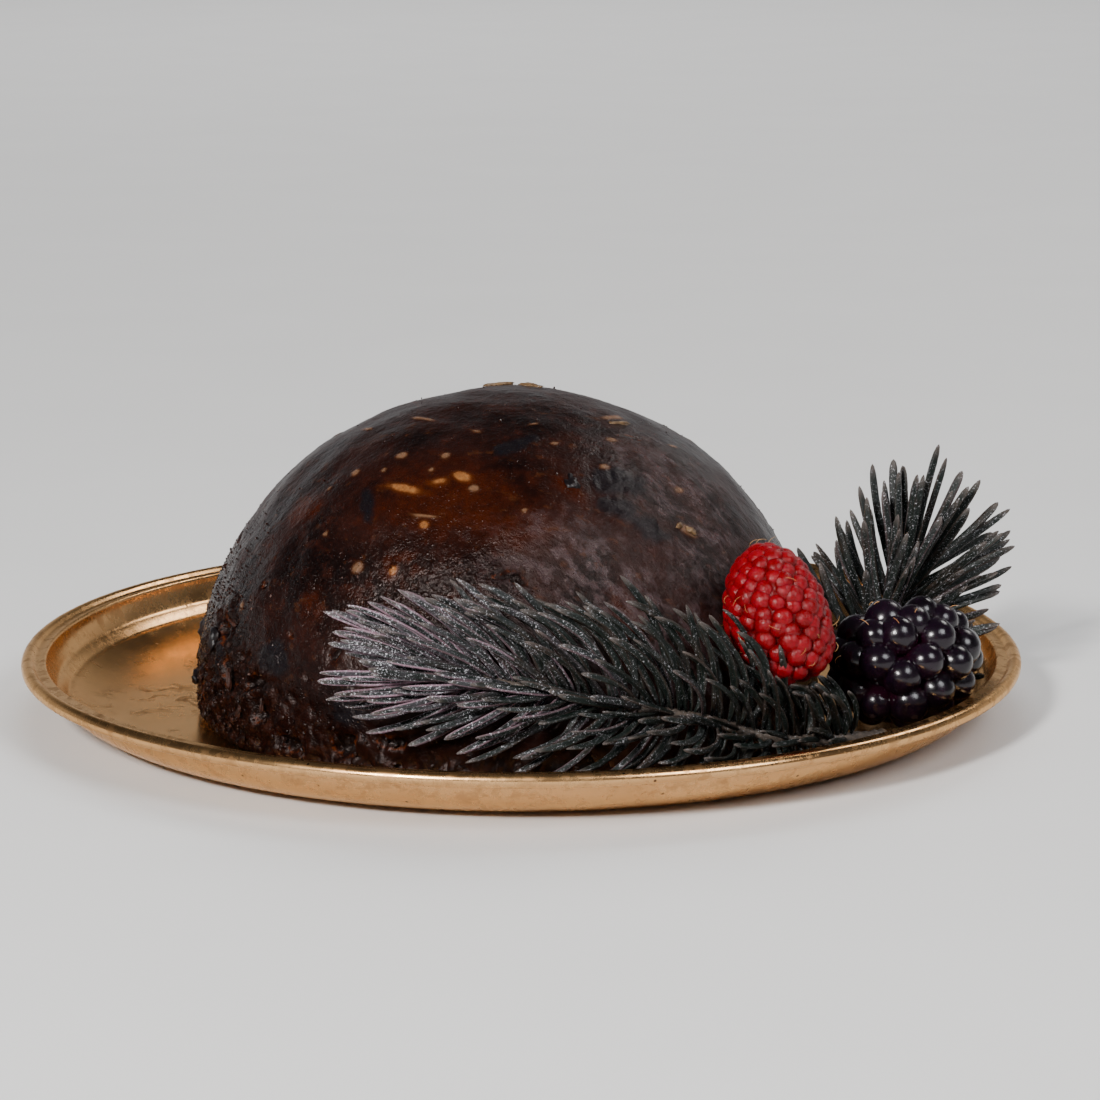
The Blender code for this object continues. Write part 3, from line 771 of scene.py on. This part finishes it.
def bits_finish():
    """Raisins, crumbs and almond, told apart by the values that the mesh carries."""
    bits = Finish("fruit_and_crumb")
    crumb, almond, _, chance = bits.tones("tone")
    mottle = bits.noise(1.2, 4.0, 0.65)
    fruit = bits.span(mottle, 0.4, 0.65)
    colour = bits.mix(fruit, (0.0035, 0.0024, 0.0032), (0.01, 0.0048, 0.0044))
    bread = bits.mix(bits.span(mottle, 0.35, 0.62), (0.01, 0.0022, 0.0008), (0.046, 0.009, 0.002))
    bread = bits.mix(bits.times(chance, 0.5), bread, (0.01, 0.003, 0.0018))
    colour = bits.mix(crumb, colour, bread)
    nut = bits.mix(bits.span(mottle, 0.35, 0.65), (0.07, 0.038, 0.016), (0.15, 0.09, 0.044))
    colour = bits.mix(almond, colour, nut)
    rough = bits.blend(crumb, 0.3, 0.65)
    relief = bits.bump(bits.noise(0.5, 4.0, 0.65), 0.00018, None, 0.7)
    bits.look(Base_Color=colour, Roughness=rough, Normal=relief, Specular_IOR_Level=0.35)
    return bits.material


# ---- berries

def berry_radius(along, widest_at, radius, bluntness):
    """Radius of a berry's body at -1 (stalk end) to 1 (tip), widest at widest_at."""
    if along > widest_at:
        across = (along - widest_at) / (1.0 - widest_at)
        return radius * math.sqrt(max(0.0, 1.0 - across ** 2))
    across = (widest_at - along) / (1.0 + widest_at)
    return radius * max(0.0, 1.0 - across ** bluntness) ** (1.0 / bluntness)


def berry_sites(rng, count, radius, half_length, shape, jitter):
    """Middle and outward direction of each drupelet, wound round the berry in a spiral.

    shape says where along it the berry is widest, -1 to 1, and how blunt its stalk end is.
    """
    sites = []
    for i in range(count):
        along = 1.0 - 2.0 * (i + 0.5) / count
        turn = i * GOLDEN_ANGLE + rng.uniform(-jitter, jitter)
        around = berry_radius(along, shape[0], radius, shape[1])
        place = Vector((around * math.cos(turn), around * math.sin(turn), along * half_length))
        outward = Vector((place.x / radius ** 2, place.y / radius ** 2, place.z / half_length ** 2))
        sites.append((place, outward.normalized()))
    return sites


def place_berry(points, centre, axis):
    """Points of a berry that stands along Z, moved to where the berry lies."""
    return np.asarray(points) @ turned_to(axis).T + np.array(centre)


def add_drupelet(heap, rng, ball, site, radii, dimple, berry):
    """One juicy drupelet with a small dimple where its hair grows."""
    points, faces = ball
    place, outward = site
    wobble = 1.0 + 0.05 * noise_at(points, 1.3, rng.uniform(0.0, 90.0))
    crown = np.clip(points[:, 2], 0.0, 1.0)
    sunk = dimple * np.exp(-(((1.0 - crown) / 0.018) ** 2))
    shaped = points * (wobble - sunk)[:, None] * np.array(radii)
    local = shaped @ turned_to(outward).T + np.array(place)
    tint = rng.random()
    hollow = np.exp(-(((1.0 - crown) / 0.01) ** 2)) * (1.0 if dimple else 0.0)
    tones = [(crown[i], tint, hollow[i], 1.0) for i in range(len(points))]
    heap.add(place_berry(local, *berry), faces, tones)


def add_hair(heap, rng, root, outward, length, radius, bend):
    """A fine curved hair."""
    aside = Vector((rng.uniform(-1, 1), rng.uniform(-1, 1), rng.uniform(-1, 1)))
    aside = (aside - outward * aside.dot(outward)).normalized()
    line = []
    for i in range(8):
        t = i / 7
        angle = bend * t + 0.25
        line.append(root + (outward * math.cos(angle) + aside * math.sin(angle)) * length * t)
    radii = [radius * (1.0 - 0.6 * i / 7) for i in range(8)]
    tube(heap, line, radii, 5, (rng.random(), 0.0, 1.0))


def make_berry(name, slot, node, finish, hair_finish, rng, berry, sites, radii, dimples, hairs,
               core):
    """A berry of drupelets over a core that fills their gaps, and the hairs that grow there.

    berry is its centre and axis, radii a drupelet's half-sizes, dimples the share with a dimple,
    hairs their number, shortest and longest length and radius, and core the core's half-sizes.
    """
    heap = Heap()
    ball = unit_ball(3)
    core_points = place_berry(ball[0] * np.array(core), *berry)
    heap.add(core_points, ball[1], [(0.1, 0.5, 0.0, 1.0)] * len(core_points))
    for site in sites:
        size = rng.uniform(0.9, 1.1)
        shape = [size * radius * rng.uniform(0.95, 1.05) for radius in radii]
        dimple = rng.uniform(0.04, 0.09) if rng.random() < dimples else 0.0
        add_drupelet(heap, rng, ball, site, shape, dimple, berry)
    piece(name + "_drupelets", heap.mesh(name + "_drupelets"), finish, slot, node)
    strands = Heap()
    rotation = Matrix(turned_to(berry[1]).tolist())
    count, shortest, longest, thickness = hairs
    for place, outward in rng.sample(sites * 2, count):
        root = berry[0] + rotation @ (place + outward * radii[2] * 0.93)
        add_hair(strands, rng, root, rotation @ outward, rng.uniform(shortest, longest),
                 thickness, rng.uniform(0.4, 1.5))
    piece(name + "_hairs", strands.mesh(name + "_hairs"), hair_finish, slot)


def make_raspberry():
    rng = random.Random(5)
    core = RASPBERRY_RADIUS - CORE_GAPS[0]
    sites = berry_sites(rng, RASPBERRY_DRUPELETS, RASPBERRY_RADIUS - RASPBERRY_DEPTH,
                        RASPBERRY_HALF_LENGTH - RASPBERRY_DEPTH, (-0.25, 3.0), 0.1)
    make_berry("raspberry", "raspberry_skin", "raspberry", raspberry_finish(),
               hair_finish("raspberry_hair", (0.55, 0.24, 0.06)), rng,
               (RASPBERRY_CENTRE, RASPBERRY_AXIS), sites,
               (RASPBERRY_DRUPELET, RASPBERRY_DRUPELET, RASPBERRY_DEPTH + 0.2 * MM), 0.5,
               (RASPBERRY_HAIRS, 0.0012, 0.0028, 0.00004),
               (core, core, RASPBERRY_HALF_LENGTH - CORE_GAPS[0]))


def make_bramble():
    rng = random.Random(8)
    core = BRAMBLE_RADIUS - CORE_GAPS[1]
    sites = berry_sites(rng, BRAMBLE_DRUPELETS, BRAMBLE_RADIUS - BRAMBLE_DRUPELET,
                        BRAMBLE_HALF_LENGTH - BRAMBLE_DRUPELET, (-0.05, 2.2), 0.16)
    make_berry("bramble", "bramble_skin", "bramble_fruit", bramble_finish(),
               hair_finish("bramble_hair", (0.5, 0.2, 0.05)), rng,
               (BRAMBLE_CENTRE, BRAMBLE_AXIS), sites, (BRAMBLE_DRUPELET,) * 3, 0.45,
               (BRAMBLE_HAIRS, 0.001, 0.0024, 0.00006),
               (core, core, BRAMBLE_HALF_LENGTH - CORE_GAPS[1]))


def raspberry_finish():
    """Translucent red flesh, with painted shade darkening it between the drupelets."""
    flesh = Finish("raspberry_flesh")
    crown, tint, hollow, _ = flesh.tones("tone")
    mottle = flesh.noise(1.4, 4.0, 0.6)
    colour = flesh.mix(tint, (0.135, 0.0, 0.002), (0.19, 0.0001, 0.0042))
    colour = flesh.mix(flesh.span(mottle, 0.45, 0.75), colour, (0.215, 0.0006, 0.008))
    # painted shade low on each drupelet, between its neighbours
    colour = flesh.mix(flesh.span(crown, 0.8, 0.3), colour, (0.1, 0.0001, 0.001))
    colour = flesh.mix(flesh.times(hollow, 0.6), colour, (0.2, 0.002, 0.006))
    rough = flesh.span(mottle, 0.3, 0.7, 0.24, 0.4)
    relief = flesh.bump(flesh.noise(0.9, 3.0, 0.6), 0.0003, None, 0.7)
    relief = flesh.bump(flesh.noise(0.25, 2.0), 0.00006, relief, 0.7)
    flesh.look(Base_Color=colour, Roughness=rough, Normal=relief)
    flesh.look(Subsurface_Weight=0.35, Subsurface_Scale=0.0012, Subsurface_Radius=(1.0, 0.1, 0.08))
    flesh.look(IOR=1.42, Specular_IOR_Level=0.28)
    return flesh.material


def bramble_finish():
    """Glossy black skin with a purple cast low on each drupelet."""
    flesh = Finish("bramble_flesh")
    crown, tint, hollow, _ = flesh.tones("tone")
    mottle = flesh.noise(2.4, 4.0, 0.6)
    colour = flesh.mix(tint, (0.002, 0.0008, 0.0022), (0.005, 0.0014, 0.005))
    colour = flesh.mix(flesh.span(mottle, 0.45, 0.75, 0.0, 0.7), colour, (0.009, 0.0018, 0.008))
    colour = flesh.mix(flesh.span(crown, 0.5, 0.0, 0.0, 0.6), colour, (0.014, 0.001, 0.005))
    colour = flesh.mix(hollow, colour, (0.03, 0.018, 0.014))
    rough = flesh.span(mottle, 0.3, 0.75, 0.17, 0.28)
    rough = flesh.blend(hollow, rough, 0.45)
    relief = flesh.bump(flesh.noise(1.3, 3.0, 0.6), 0.0001, None, 0.35)
    relief = flesh.bump(flesh.noise(0.25, 2.0), 0.00003, relief, 0.35)
    flesh.look(Base_Color=colour, Roughness=rough, Normal=relief, IOR=1.45)
    flesh.look(Subsurface_Weight=0.15, Subsurface_Scale=0.001, Subsurface_Radius=(1.0, 0.2, 0.5))
    return flesh.material


def hair_finish(name, colour):
    """Fine dry hairs, darker at the root."""
    hair = Finish(name)
    share, chance, _, _ = hair.tones("tone")
    shade = hair.mix(hair.span(share, 0.0, 0.5), tuple(0.35 * c for c in colour), colour)
    shade = hair.mix(hair.times(chance, hair.noise(0.8)), shade, (0.62, 0.4, 0.18))
    hair.look(Base_Color=shade, Roughness=0.45, Normal=hair.bump(hair.noise(0.15), 0.00002))
    return hair.material


# ---- fir sprigs

def out_of_ellipsoid(point, centre, axis, across, along):
    """The point, moved straight away from an ellipsoid's middle if it lies inside it."""
    offset = point - centre
    height = offset.dot(axis)
    side = (offset - height * axis).length
    depth = math.hypot(side / across, height / along)
    return point if depth >= 1.0 else centre + offset / depth


def plate_surface(radius):
    """Height of the plate's upper face at this distance from its axis, as far as the band."""
    if radius <= FLOOR_RADIUS:
        return SHEET
    across = min(1.0, (radius - FLOOR_RADIUS) / (PLATE_RADIUS - BAND_WIDTH - FLOOR_RADIUS))
    return SHEET + COVE_DEPTH * (1.0 - math.sqrt(1.0 - across ** 2))


def cleared(point, room):
    """The point, moved off the plate, the pudding and the berries where it lies in them."""
    skin_room = SKIN_SWELL + room
    point = out_of_ellipsoid(point, PUDDING_MIDDLE, UP, PUDDING_RADIUS + skin_room,
                             PUDDING_HEIGHT + skin_room)
    point = out_of_ellipsoid(point, RASPBERRY_CENTRE, RASPBERRY_AXIS, RASPBERRY_RADIUS + room,
                             RASPBERRY_HALF_LENGTH + room)
    point = out_of_ellipsoid(point, BRAMBLE_CENTRE, BRAMBLE_AXIS, BRAMBLE_RADIUS + room,
                             BRAMBLE_HALF_LENGTH + room)
    rim_height = SHEET + COVE_DEPTH + BEAD_RADIUS + room
    across = math.hypot(point.x, point.y)
    inside = PLATE_RADIUS - BAND_WIDTH - 2.0 * room
    if across > inside and point.z < rim_height:
        point = Vector((point.x * inside / across, point.y * inside / across, point.z))
        across = inside
    if across <= inside:
        point.z = max(point.z, plate_surface(across) + 1.3 * room)
    return point


def needle_line(root, forward, outward, length, lean, bend, sway, room):
    """Middle line of one needle: it leaves the twig at about the angle lean, bends and sways."""
    aside = forward.cross(outward)
    points = [root]
    for before, share in zip(NEEDLE_SHARES, NEEDLE_SHARES[1:]):
        angle = lean * (1.0 + bend * (0.5 - share))
        away = outward * math.cos(sway * share) + aside * math.sin(sway * share)
        ahead = forward * math.cos(angle) + away * math.sin(angle)
        points.append(cleared(points[-1] + ahead * length * (share - before), room))
    return points


def needle_width(share, point_from):
    """A needle's width along it: a short thin stalk, an even blade and a rounded or sharp tip."""
    stalk = 0.4 + 0.6 * min(1.0, share / 0.14)
    if share <= point_from:
        return stalk
    fade = (share - point_from) / (1.0 - point_from)
    return stalk * max(0.1, math.sqrt(max(0.0, 1.0 - fade ** 2)))


def add_needle(heap, line, facing, width, thickness, point_from, tone):
    """A flat blade along a line, with a groove along the face that it turns to facing."""
    points, tones = [], []
    for i, (middle, share) in enumerate(zip(line, NEEDLE_SHARES)):
        ahead = heading(line, i)
        across = ahead.cross(facing).normalized()
        over = across.cross(ahead)
        scale = needle_width(share, point_from)
        depth = thickness * (0.4 + 0.6 * scale)
        for x, z in NEEDLE_SECTION:
            points.append(middle + across * x * scale * width + over * z * depth)
            tones.append((*tone, share, 0.5 + 0.5 * x))
    heap.add(points, loft_faces(len(line), len(NEEDLE_SECTION)), tones)


# Rows of the flattened front spray: turn about the twig in degrees (0 up the pudding, 90 to the
# front, 180 down), its spread, length in metres and share of the full lean.
FRONT_ROWS = (
    (0.0, 12.0, 0.0245, 1.0), (172.0, 14.0, 0.0195, 1.05), (22.0, 14.0, 0.0235, 0.9),
    (150.0, 16.0, 0.019, 0.92), (8.0, 10.0, 0.0245, 0.76), (92.0, 30.0, 0.014, 0.4),
    (40.0, 16.0, 0.02, 0.72), (126.0, 16.0, 0.0165, 0.75),
)


def make_needles(name, node, route, plan, facing, count, seed):
    """All the needles of one sprig. plan gives each one's turn, length, lean and build."""
    rng = random.Random(seed)
    heap = Heap()
    for i in range(count):
        share = (i + rng.uniform(0.2, 0.8)) / count
        at, forward = along_route(route, 0.15 + 0.85 * share)
        front = (facing - forward * facing.dot(forward)).normalized()
        upward = forward.cross(front).normalized()
        needle = plan(rng, i, share)
        turn = needle["turn"]
        outward = upward * math.cos(turn) + front * math.sin(turn)
        root = at + outward * 0.6 * TWIG_RADIUS
        line = needle_line(root, forward, outward, needle["length"], needle["lean"],
                           needle["bend"], needle["sway"], NEEDLE_CLEARANCE + needle["layer"])
        face = (needle["face"] + forward * rng.uniform(-0.3, 0.3)).normalized()
        add_needle(heap, line, face, needle["width"], needle["thickness"], needle["point_from"],
                   (rng.random(), needle["frost"]))
    return piece(name, heap.mesh(name), fir_finish(), "frosted_fir", node)


def front_plan(rng, index, share):
    """A needle of the front spray: blunt, with more frost towards the twig's tip."""
    middle, spread, length, lean_share = FRONT_ROWS[index % len(FRONT_ROWS)]
    lean = math.radians(73.0 - 53.0 * share ** 1.6) * lean_share
    full = float(smooth(-0.35, 0.35, share))  # needles are shorter near the twig's cut end
    longer = (0.08 if middle > 90.0 else -0.16) * share ** 3
    return {
        "turn": math.radians(middle + rng.uniform(-spread, spread)),
        "length": length * rng.uniform(0.82, 1.06) * (1.0 + longer) * full,
        "lean": lean * rng.uniform(0.78, 1.12),
        "bend": rng.uniform(0.4, 1.9),
        "sway": rng.uniform(-0.45, 0.45),
        "layer": rng.uniform(0.0, 0.0022),
        "face": Vector((rng.uniform(-0.9, 0.5), -1.0, rng.uniform(-0.3, 1.1))),
        "width": 0.00068 * rng.uniform(0.75, 1.12),
        "thickness": 0.00042,
        "point_from": rng.uniform(0.66, 0.86),
        "frost": min(1.0, max(0.0, 0.08 + 0.85 * share ** 1.5 + rng.uniform(-0.2, 0.2))),
    }


def back_plan(rng, index, share):
    """A needle of the back sprig: sharp, straight and standing all round the twig."""
    return {
        "turn": math.pi - index * GOLDEN_ANGLE + rng.uniform(-0.2, 0.2),
        "length": rng.uniform(0.0205, 0.0255),
        "lean": math.radians(74.0 - 46.0 * share) * rng.uniform(0.8, 1.15),
        "bend": rng.uniform(-0.2, 0.7),
        "sway": rng.uniform(-0.3, 0.3),
        "layer": rng.uniform(0.0, 0.0015),
        "face": Vector((rng.uniform(-0.7, 0.7), -1.0, rng.uniform(-0.2, 0.8))),
        "width": 0.0008 * rng.uniform(0.8, 1.12),
        "thickness": 0.0003,
        "point_from": rng.uniform(0.74, 0.9),
        "frost": rng.uniform(0.22, 0.48),
    }


def make_twig(name, route, seed):
    """The woody twig, knobbly along its length, with a pale cut end."""
    rng = random.Random(seed)
    heap = Heap()
    knots = 60
    line = [along_route(route, i / (knots - 1))[0] for i in range(knots)]
    radii = [TWIG_RADIUS * (1.0 - 0.5 * i / knots) * (1.0 + 0.16 * rng.uniform(-1, 1))
             for i in range(knots)]
    tube(heap, line, radii, 14, (0.0, 0.0, 1.0))
    return piece(name, heap.mesh(name), twig_finish(), "frosted_fir")


def fir_finish():
    """Dark fir needles: a pale frosted margin with a painted lilac reflection, painted shade down
    the groove, and frost as a thin coat and as fine crystals.
    """
    fir = Finish("frosted_needles")
    chance, frost, share, across = fir.tones("tone")
    side = fir.number("ABSOLUTE", fir.times(fir.number("SUBTRACT", across, 0.5), 2.0))
    clouds = fir.noise(1.6, 4.0, 0.6)
    colour = fir.mix(chance, (0.0028, 0.0056, 0.0042), (0.0075, 0.012, 0.0095))
    colour = fir.mix(fir.span(fir.noise(7.0, 3.0), 0.5, 0.75), colour, (0.02, 0.012, 0.008))
    # painted shade down the middle of each needle, in its groove
    colour = fir.mix(fir.span(side, 0.35, 0.0, 0.0, 0.7), colour, (0.0012, 0.002, 0.0016))
    # margins: brown, paler with frost, and a painted lilac reflection where the frost is heavy
    margin = fir.mix(fir.span(frost, 0.35, 0.95), (0.024, 0.016, 0.012), (0.34, 0.195, 0.255))
    edge = fir.times(fir.span(side, 0.45, 0.85), fir.span(chance, 0.25, 0.65, 0.15, 0.9))
    colour = fir.mix(edge, colour, margin)
    frost_film_and_painted_sheen = fir.times(fir.span(clouds, 0.42, 0.66), fir.span(frost, 0.25, 1.0, 0.0, 0.45))
    colour = fir.mix(frost_film_and_painted_sheen, colour, (0.085, 0.068, 0.084))
    tip = fir.span(share, 0.86, 1.0, 0.0, 0.5)
    colour = fir.mix(tip, colour, (0.12, 0.095, 0.085))
    crystals = fir.span(fir.noise(0.36, 3.0, 0.8), fir.span(frost, 0.0, 1.0, 0.6, 0.53), 0.66)
    crystals = fir.times(crystals, fir.span(frost, 0.0, 0.9, 0.45, 0.9),
                         fir.span(fir.noise(3.4, 3.0), 0.36, 0.6, 0.3, 1.0))
    colour = fir.mix(crystals, colour, (0.68, 0.67, 0.72))
    rough = fir.blend(crystals, fir.blend(frost_film_and_painted_sheen, 0.44, 0.66), 0.3)
    relief = fir.bump(fir.noise(0.3, 3.0, 0.7), 0.0001, None, 0.8)
    relief = fir.bump(clouds, 0.00015, relief, 0.4)
    fir.look(Base_Color=colour, Roughness=rough, Normal=relief, Specular_IOR_Level=0.2)
    return fir.material


def twig_finish():
    """Grey-brown bark with specks of frost."""
    bark = Finish("twig_bark")
    share, _, _, _ = bark.tones("tone")
    mottle = bark.noise(0.9, 5.0, 0.7)
    colour = bark.mix(bark.span(mottle, 0.35, 0.65), (0.02, 0.014, 0.01), (0.08, 0.058, 0.044))
    colour = bark.mix(bark.span(share, 0.012, 0.0), colour, (0.22, 0.14, 0.08))
    colour = bark.mix(bark.span(bark.noise(0.3, 3.0, 0.7), 0.62, 0.7), colour, (0.5, 0.5, 0.52))
    relief = bark.bump(mottle, 0.0003, None, 0.8)
    bark.look(Base_Color=colour, Roughness=0.7, Normal=relief)
    return bark.material


def make_sprigs():
    facing_front = Vector((0.0, -1.0, 0.25))
    make_needles("fir_needles_front", "sprig_front", FRONT_ROUTE, front_plan, facing_front,
                 FRONT_NEEDLES, 21)
    make_twig("fir_twig_front", FRONT_ROUTE, 22)
    make_needles("fir_needles_back", "sprig_back", BACK_ROUTE, back_plan,
                 Vector((0.0, -1.0, 0.2)), BACK_NEEDLES, 31)
    make_twig("fir_twig_back", BACK_ROUTE, 32)


# ---- floor, light and camera

def make_floor():
    mesh = make_mesh("floor", [(-6, -6, 0), (6, -6, 0), (6, 12, 0), (-6, 12, 0)], [(0, 1, 2, 3)])
    floor = bpy.data.objects.new("floor", mesh)
    bpy.context.scene.collection.objects.link(floor)
    paper = Finish("pale_floor")
    tone = paper.mix(paper.noise(60.0, 2.0), (0.66, 0.655, 0.65), (0.7, 0.695, 0.69))
    paper.look(Base_Color=tone, Roughness=0.75)
    mesh.materials.append(paper.material)


def softbox(name, azimuth, elevation, distance, size, watts, colour):
    """A round lamp that faces the pudding, azimuth in degrees to the right of the front."""
    lamp = bpy.data.lights.new(name, "AREA")
    lamp.shape = "DISK"
    lamp.size = size
    lamp.energy = watts
    lamp.color = colour
    holder = bpy.data.objects.new(name, lamp)
    bpy.context.scene.collection.objects.link(holder)
    direction = toward(azimuth, elevation)
    holder.location = PUDDING_MIDDLE + direction * distance
    holder.rotation_euler = direction.to_track_quat("Z", "Y").to_euler()
    return holder


WALL_LIGHT = 0.2                # strength of the pale walls round the table, up to 10 degrees
CEILING_LIGHT = 0.07            # strength of the dimmer room above them
BACK_LIGHT = 0.5                # what the paler wall behind the dish adds, low down


def make_light():
    """Lamps from the left, the right and behind, one that lights the floor, and pale walls."""
    softbox("key", -26.0, 30.0, 1.3, 0.2, 27.0, (1.0, 0.985, 0.96))
    softbox("broad", 46.0, 38.0, 1.2, 0.52, 8.5, (0.95, 0.97, 1.0))
    softbox("rim", 135.0, 42.0, 1.3, 0.4, 3.2, (1.0, 0.98, 0.95))
    backdrop = softbox("backdrop", 180.0, 42.0, 2.6, 1.8, 46.0, (1.0, 1.0, 1.0))
    backdrop.rotation_euler = (math.radians(-12.0), 0.0, 0.0)
    backdrop.visible_glossy = False
    world = bpy.data.worlds.new("studio")
    world.use_nodes = True
    nodes, links = world.node_tree.nodes, world.node_tree.links
    ray = nodes.new("ShaderNodeSeparateXYZ")
    links.new(nodes.new("ShaderNodeTexCoord").outputs["Generated"], ray.inputs[0])
    ramps = []
    for axis, *limits in (("Z", 0.15, 0.55, WALL_LIGHT, CEILING_LIGHT),
                          ("Z", 0.46, 0.2, 0.0, BACK_LIGHT), ("Y", 0.2, 0.75, 0.0, 1.0)):
        ramp = nodes.new("ShaderNodeMapRange")
        ramp.interpolation_type = "SMOOTHSTEP"
        links.new(ray.outputs[axis], ramp.inputs["Value"])
        for name, value in zip(("From Min", "From Max", "To Min", "To Max"), limits):
            ramp.inputs[name].default_value = value
        ramps.append(ramp.outputs[0])
    total = nodes.new("ShaderNodeMath")
    total.operation = "MULTIPLY_ADD"
    for socket, output in zip(total.inputs, (ramps[1], ramps[2], ramps[0])):
        links.new(output, socket)
    background = nodes["Background"]
    background.inputs["Color"].default_value = (0.95, 0.95, 0.97, 1.0)
    links.new(total.outputs[0], background.inputs["Strength"])
    bpy.context.scene.world = world


def make_camera():
    lens = bpy.data.cameras.new("camera")
    lens.sensor_width = CAMERA_SENSOR
    lens.lens = CAMERA_LENS
    camera = bpy.data.objects.new("camera", lens)
    bpy.context.scene.collection.objects.link(camera)
    back = Vector((0.0, -math.cos(CAMERA_ELEVATION), math.sin(CAMERA_ELEVATION)))
    camera.location = CAMERA_AIM + back * CAMERA_DISTANCE
    camera.rotation_euler = (math.radians(90.0) - CAMERA_ELEVATION, 0.0, 0.0)
    bpy.context.scene.camera = camera


make_floor()
make_light()
make_camera()
make_plate()
make_pudding()
make_bits()
make_raspberry()
make_bramble()
make_sprigs()
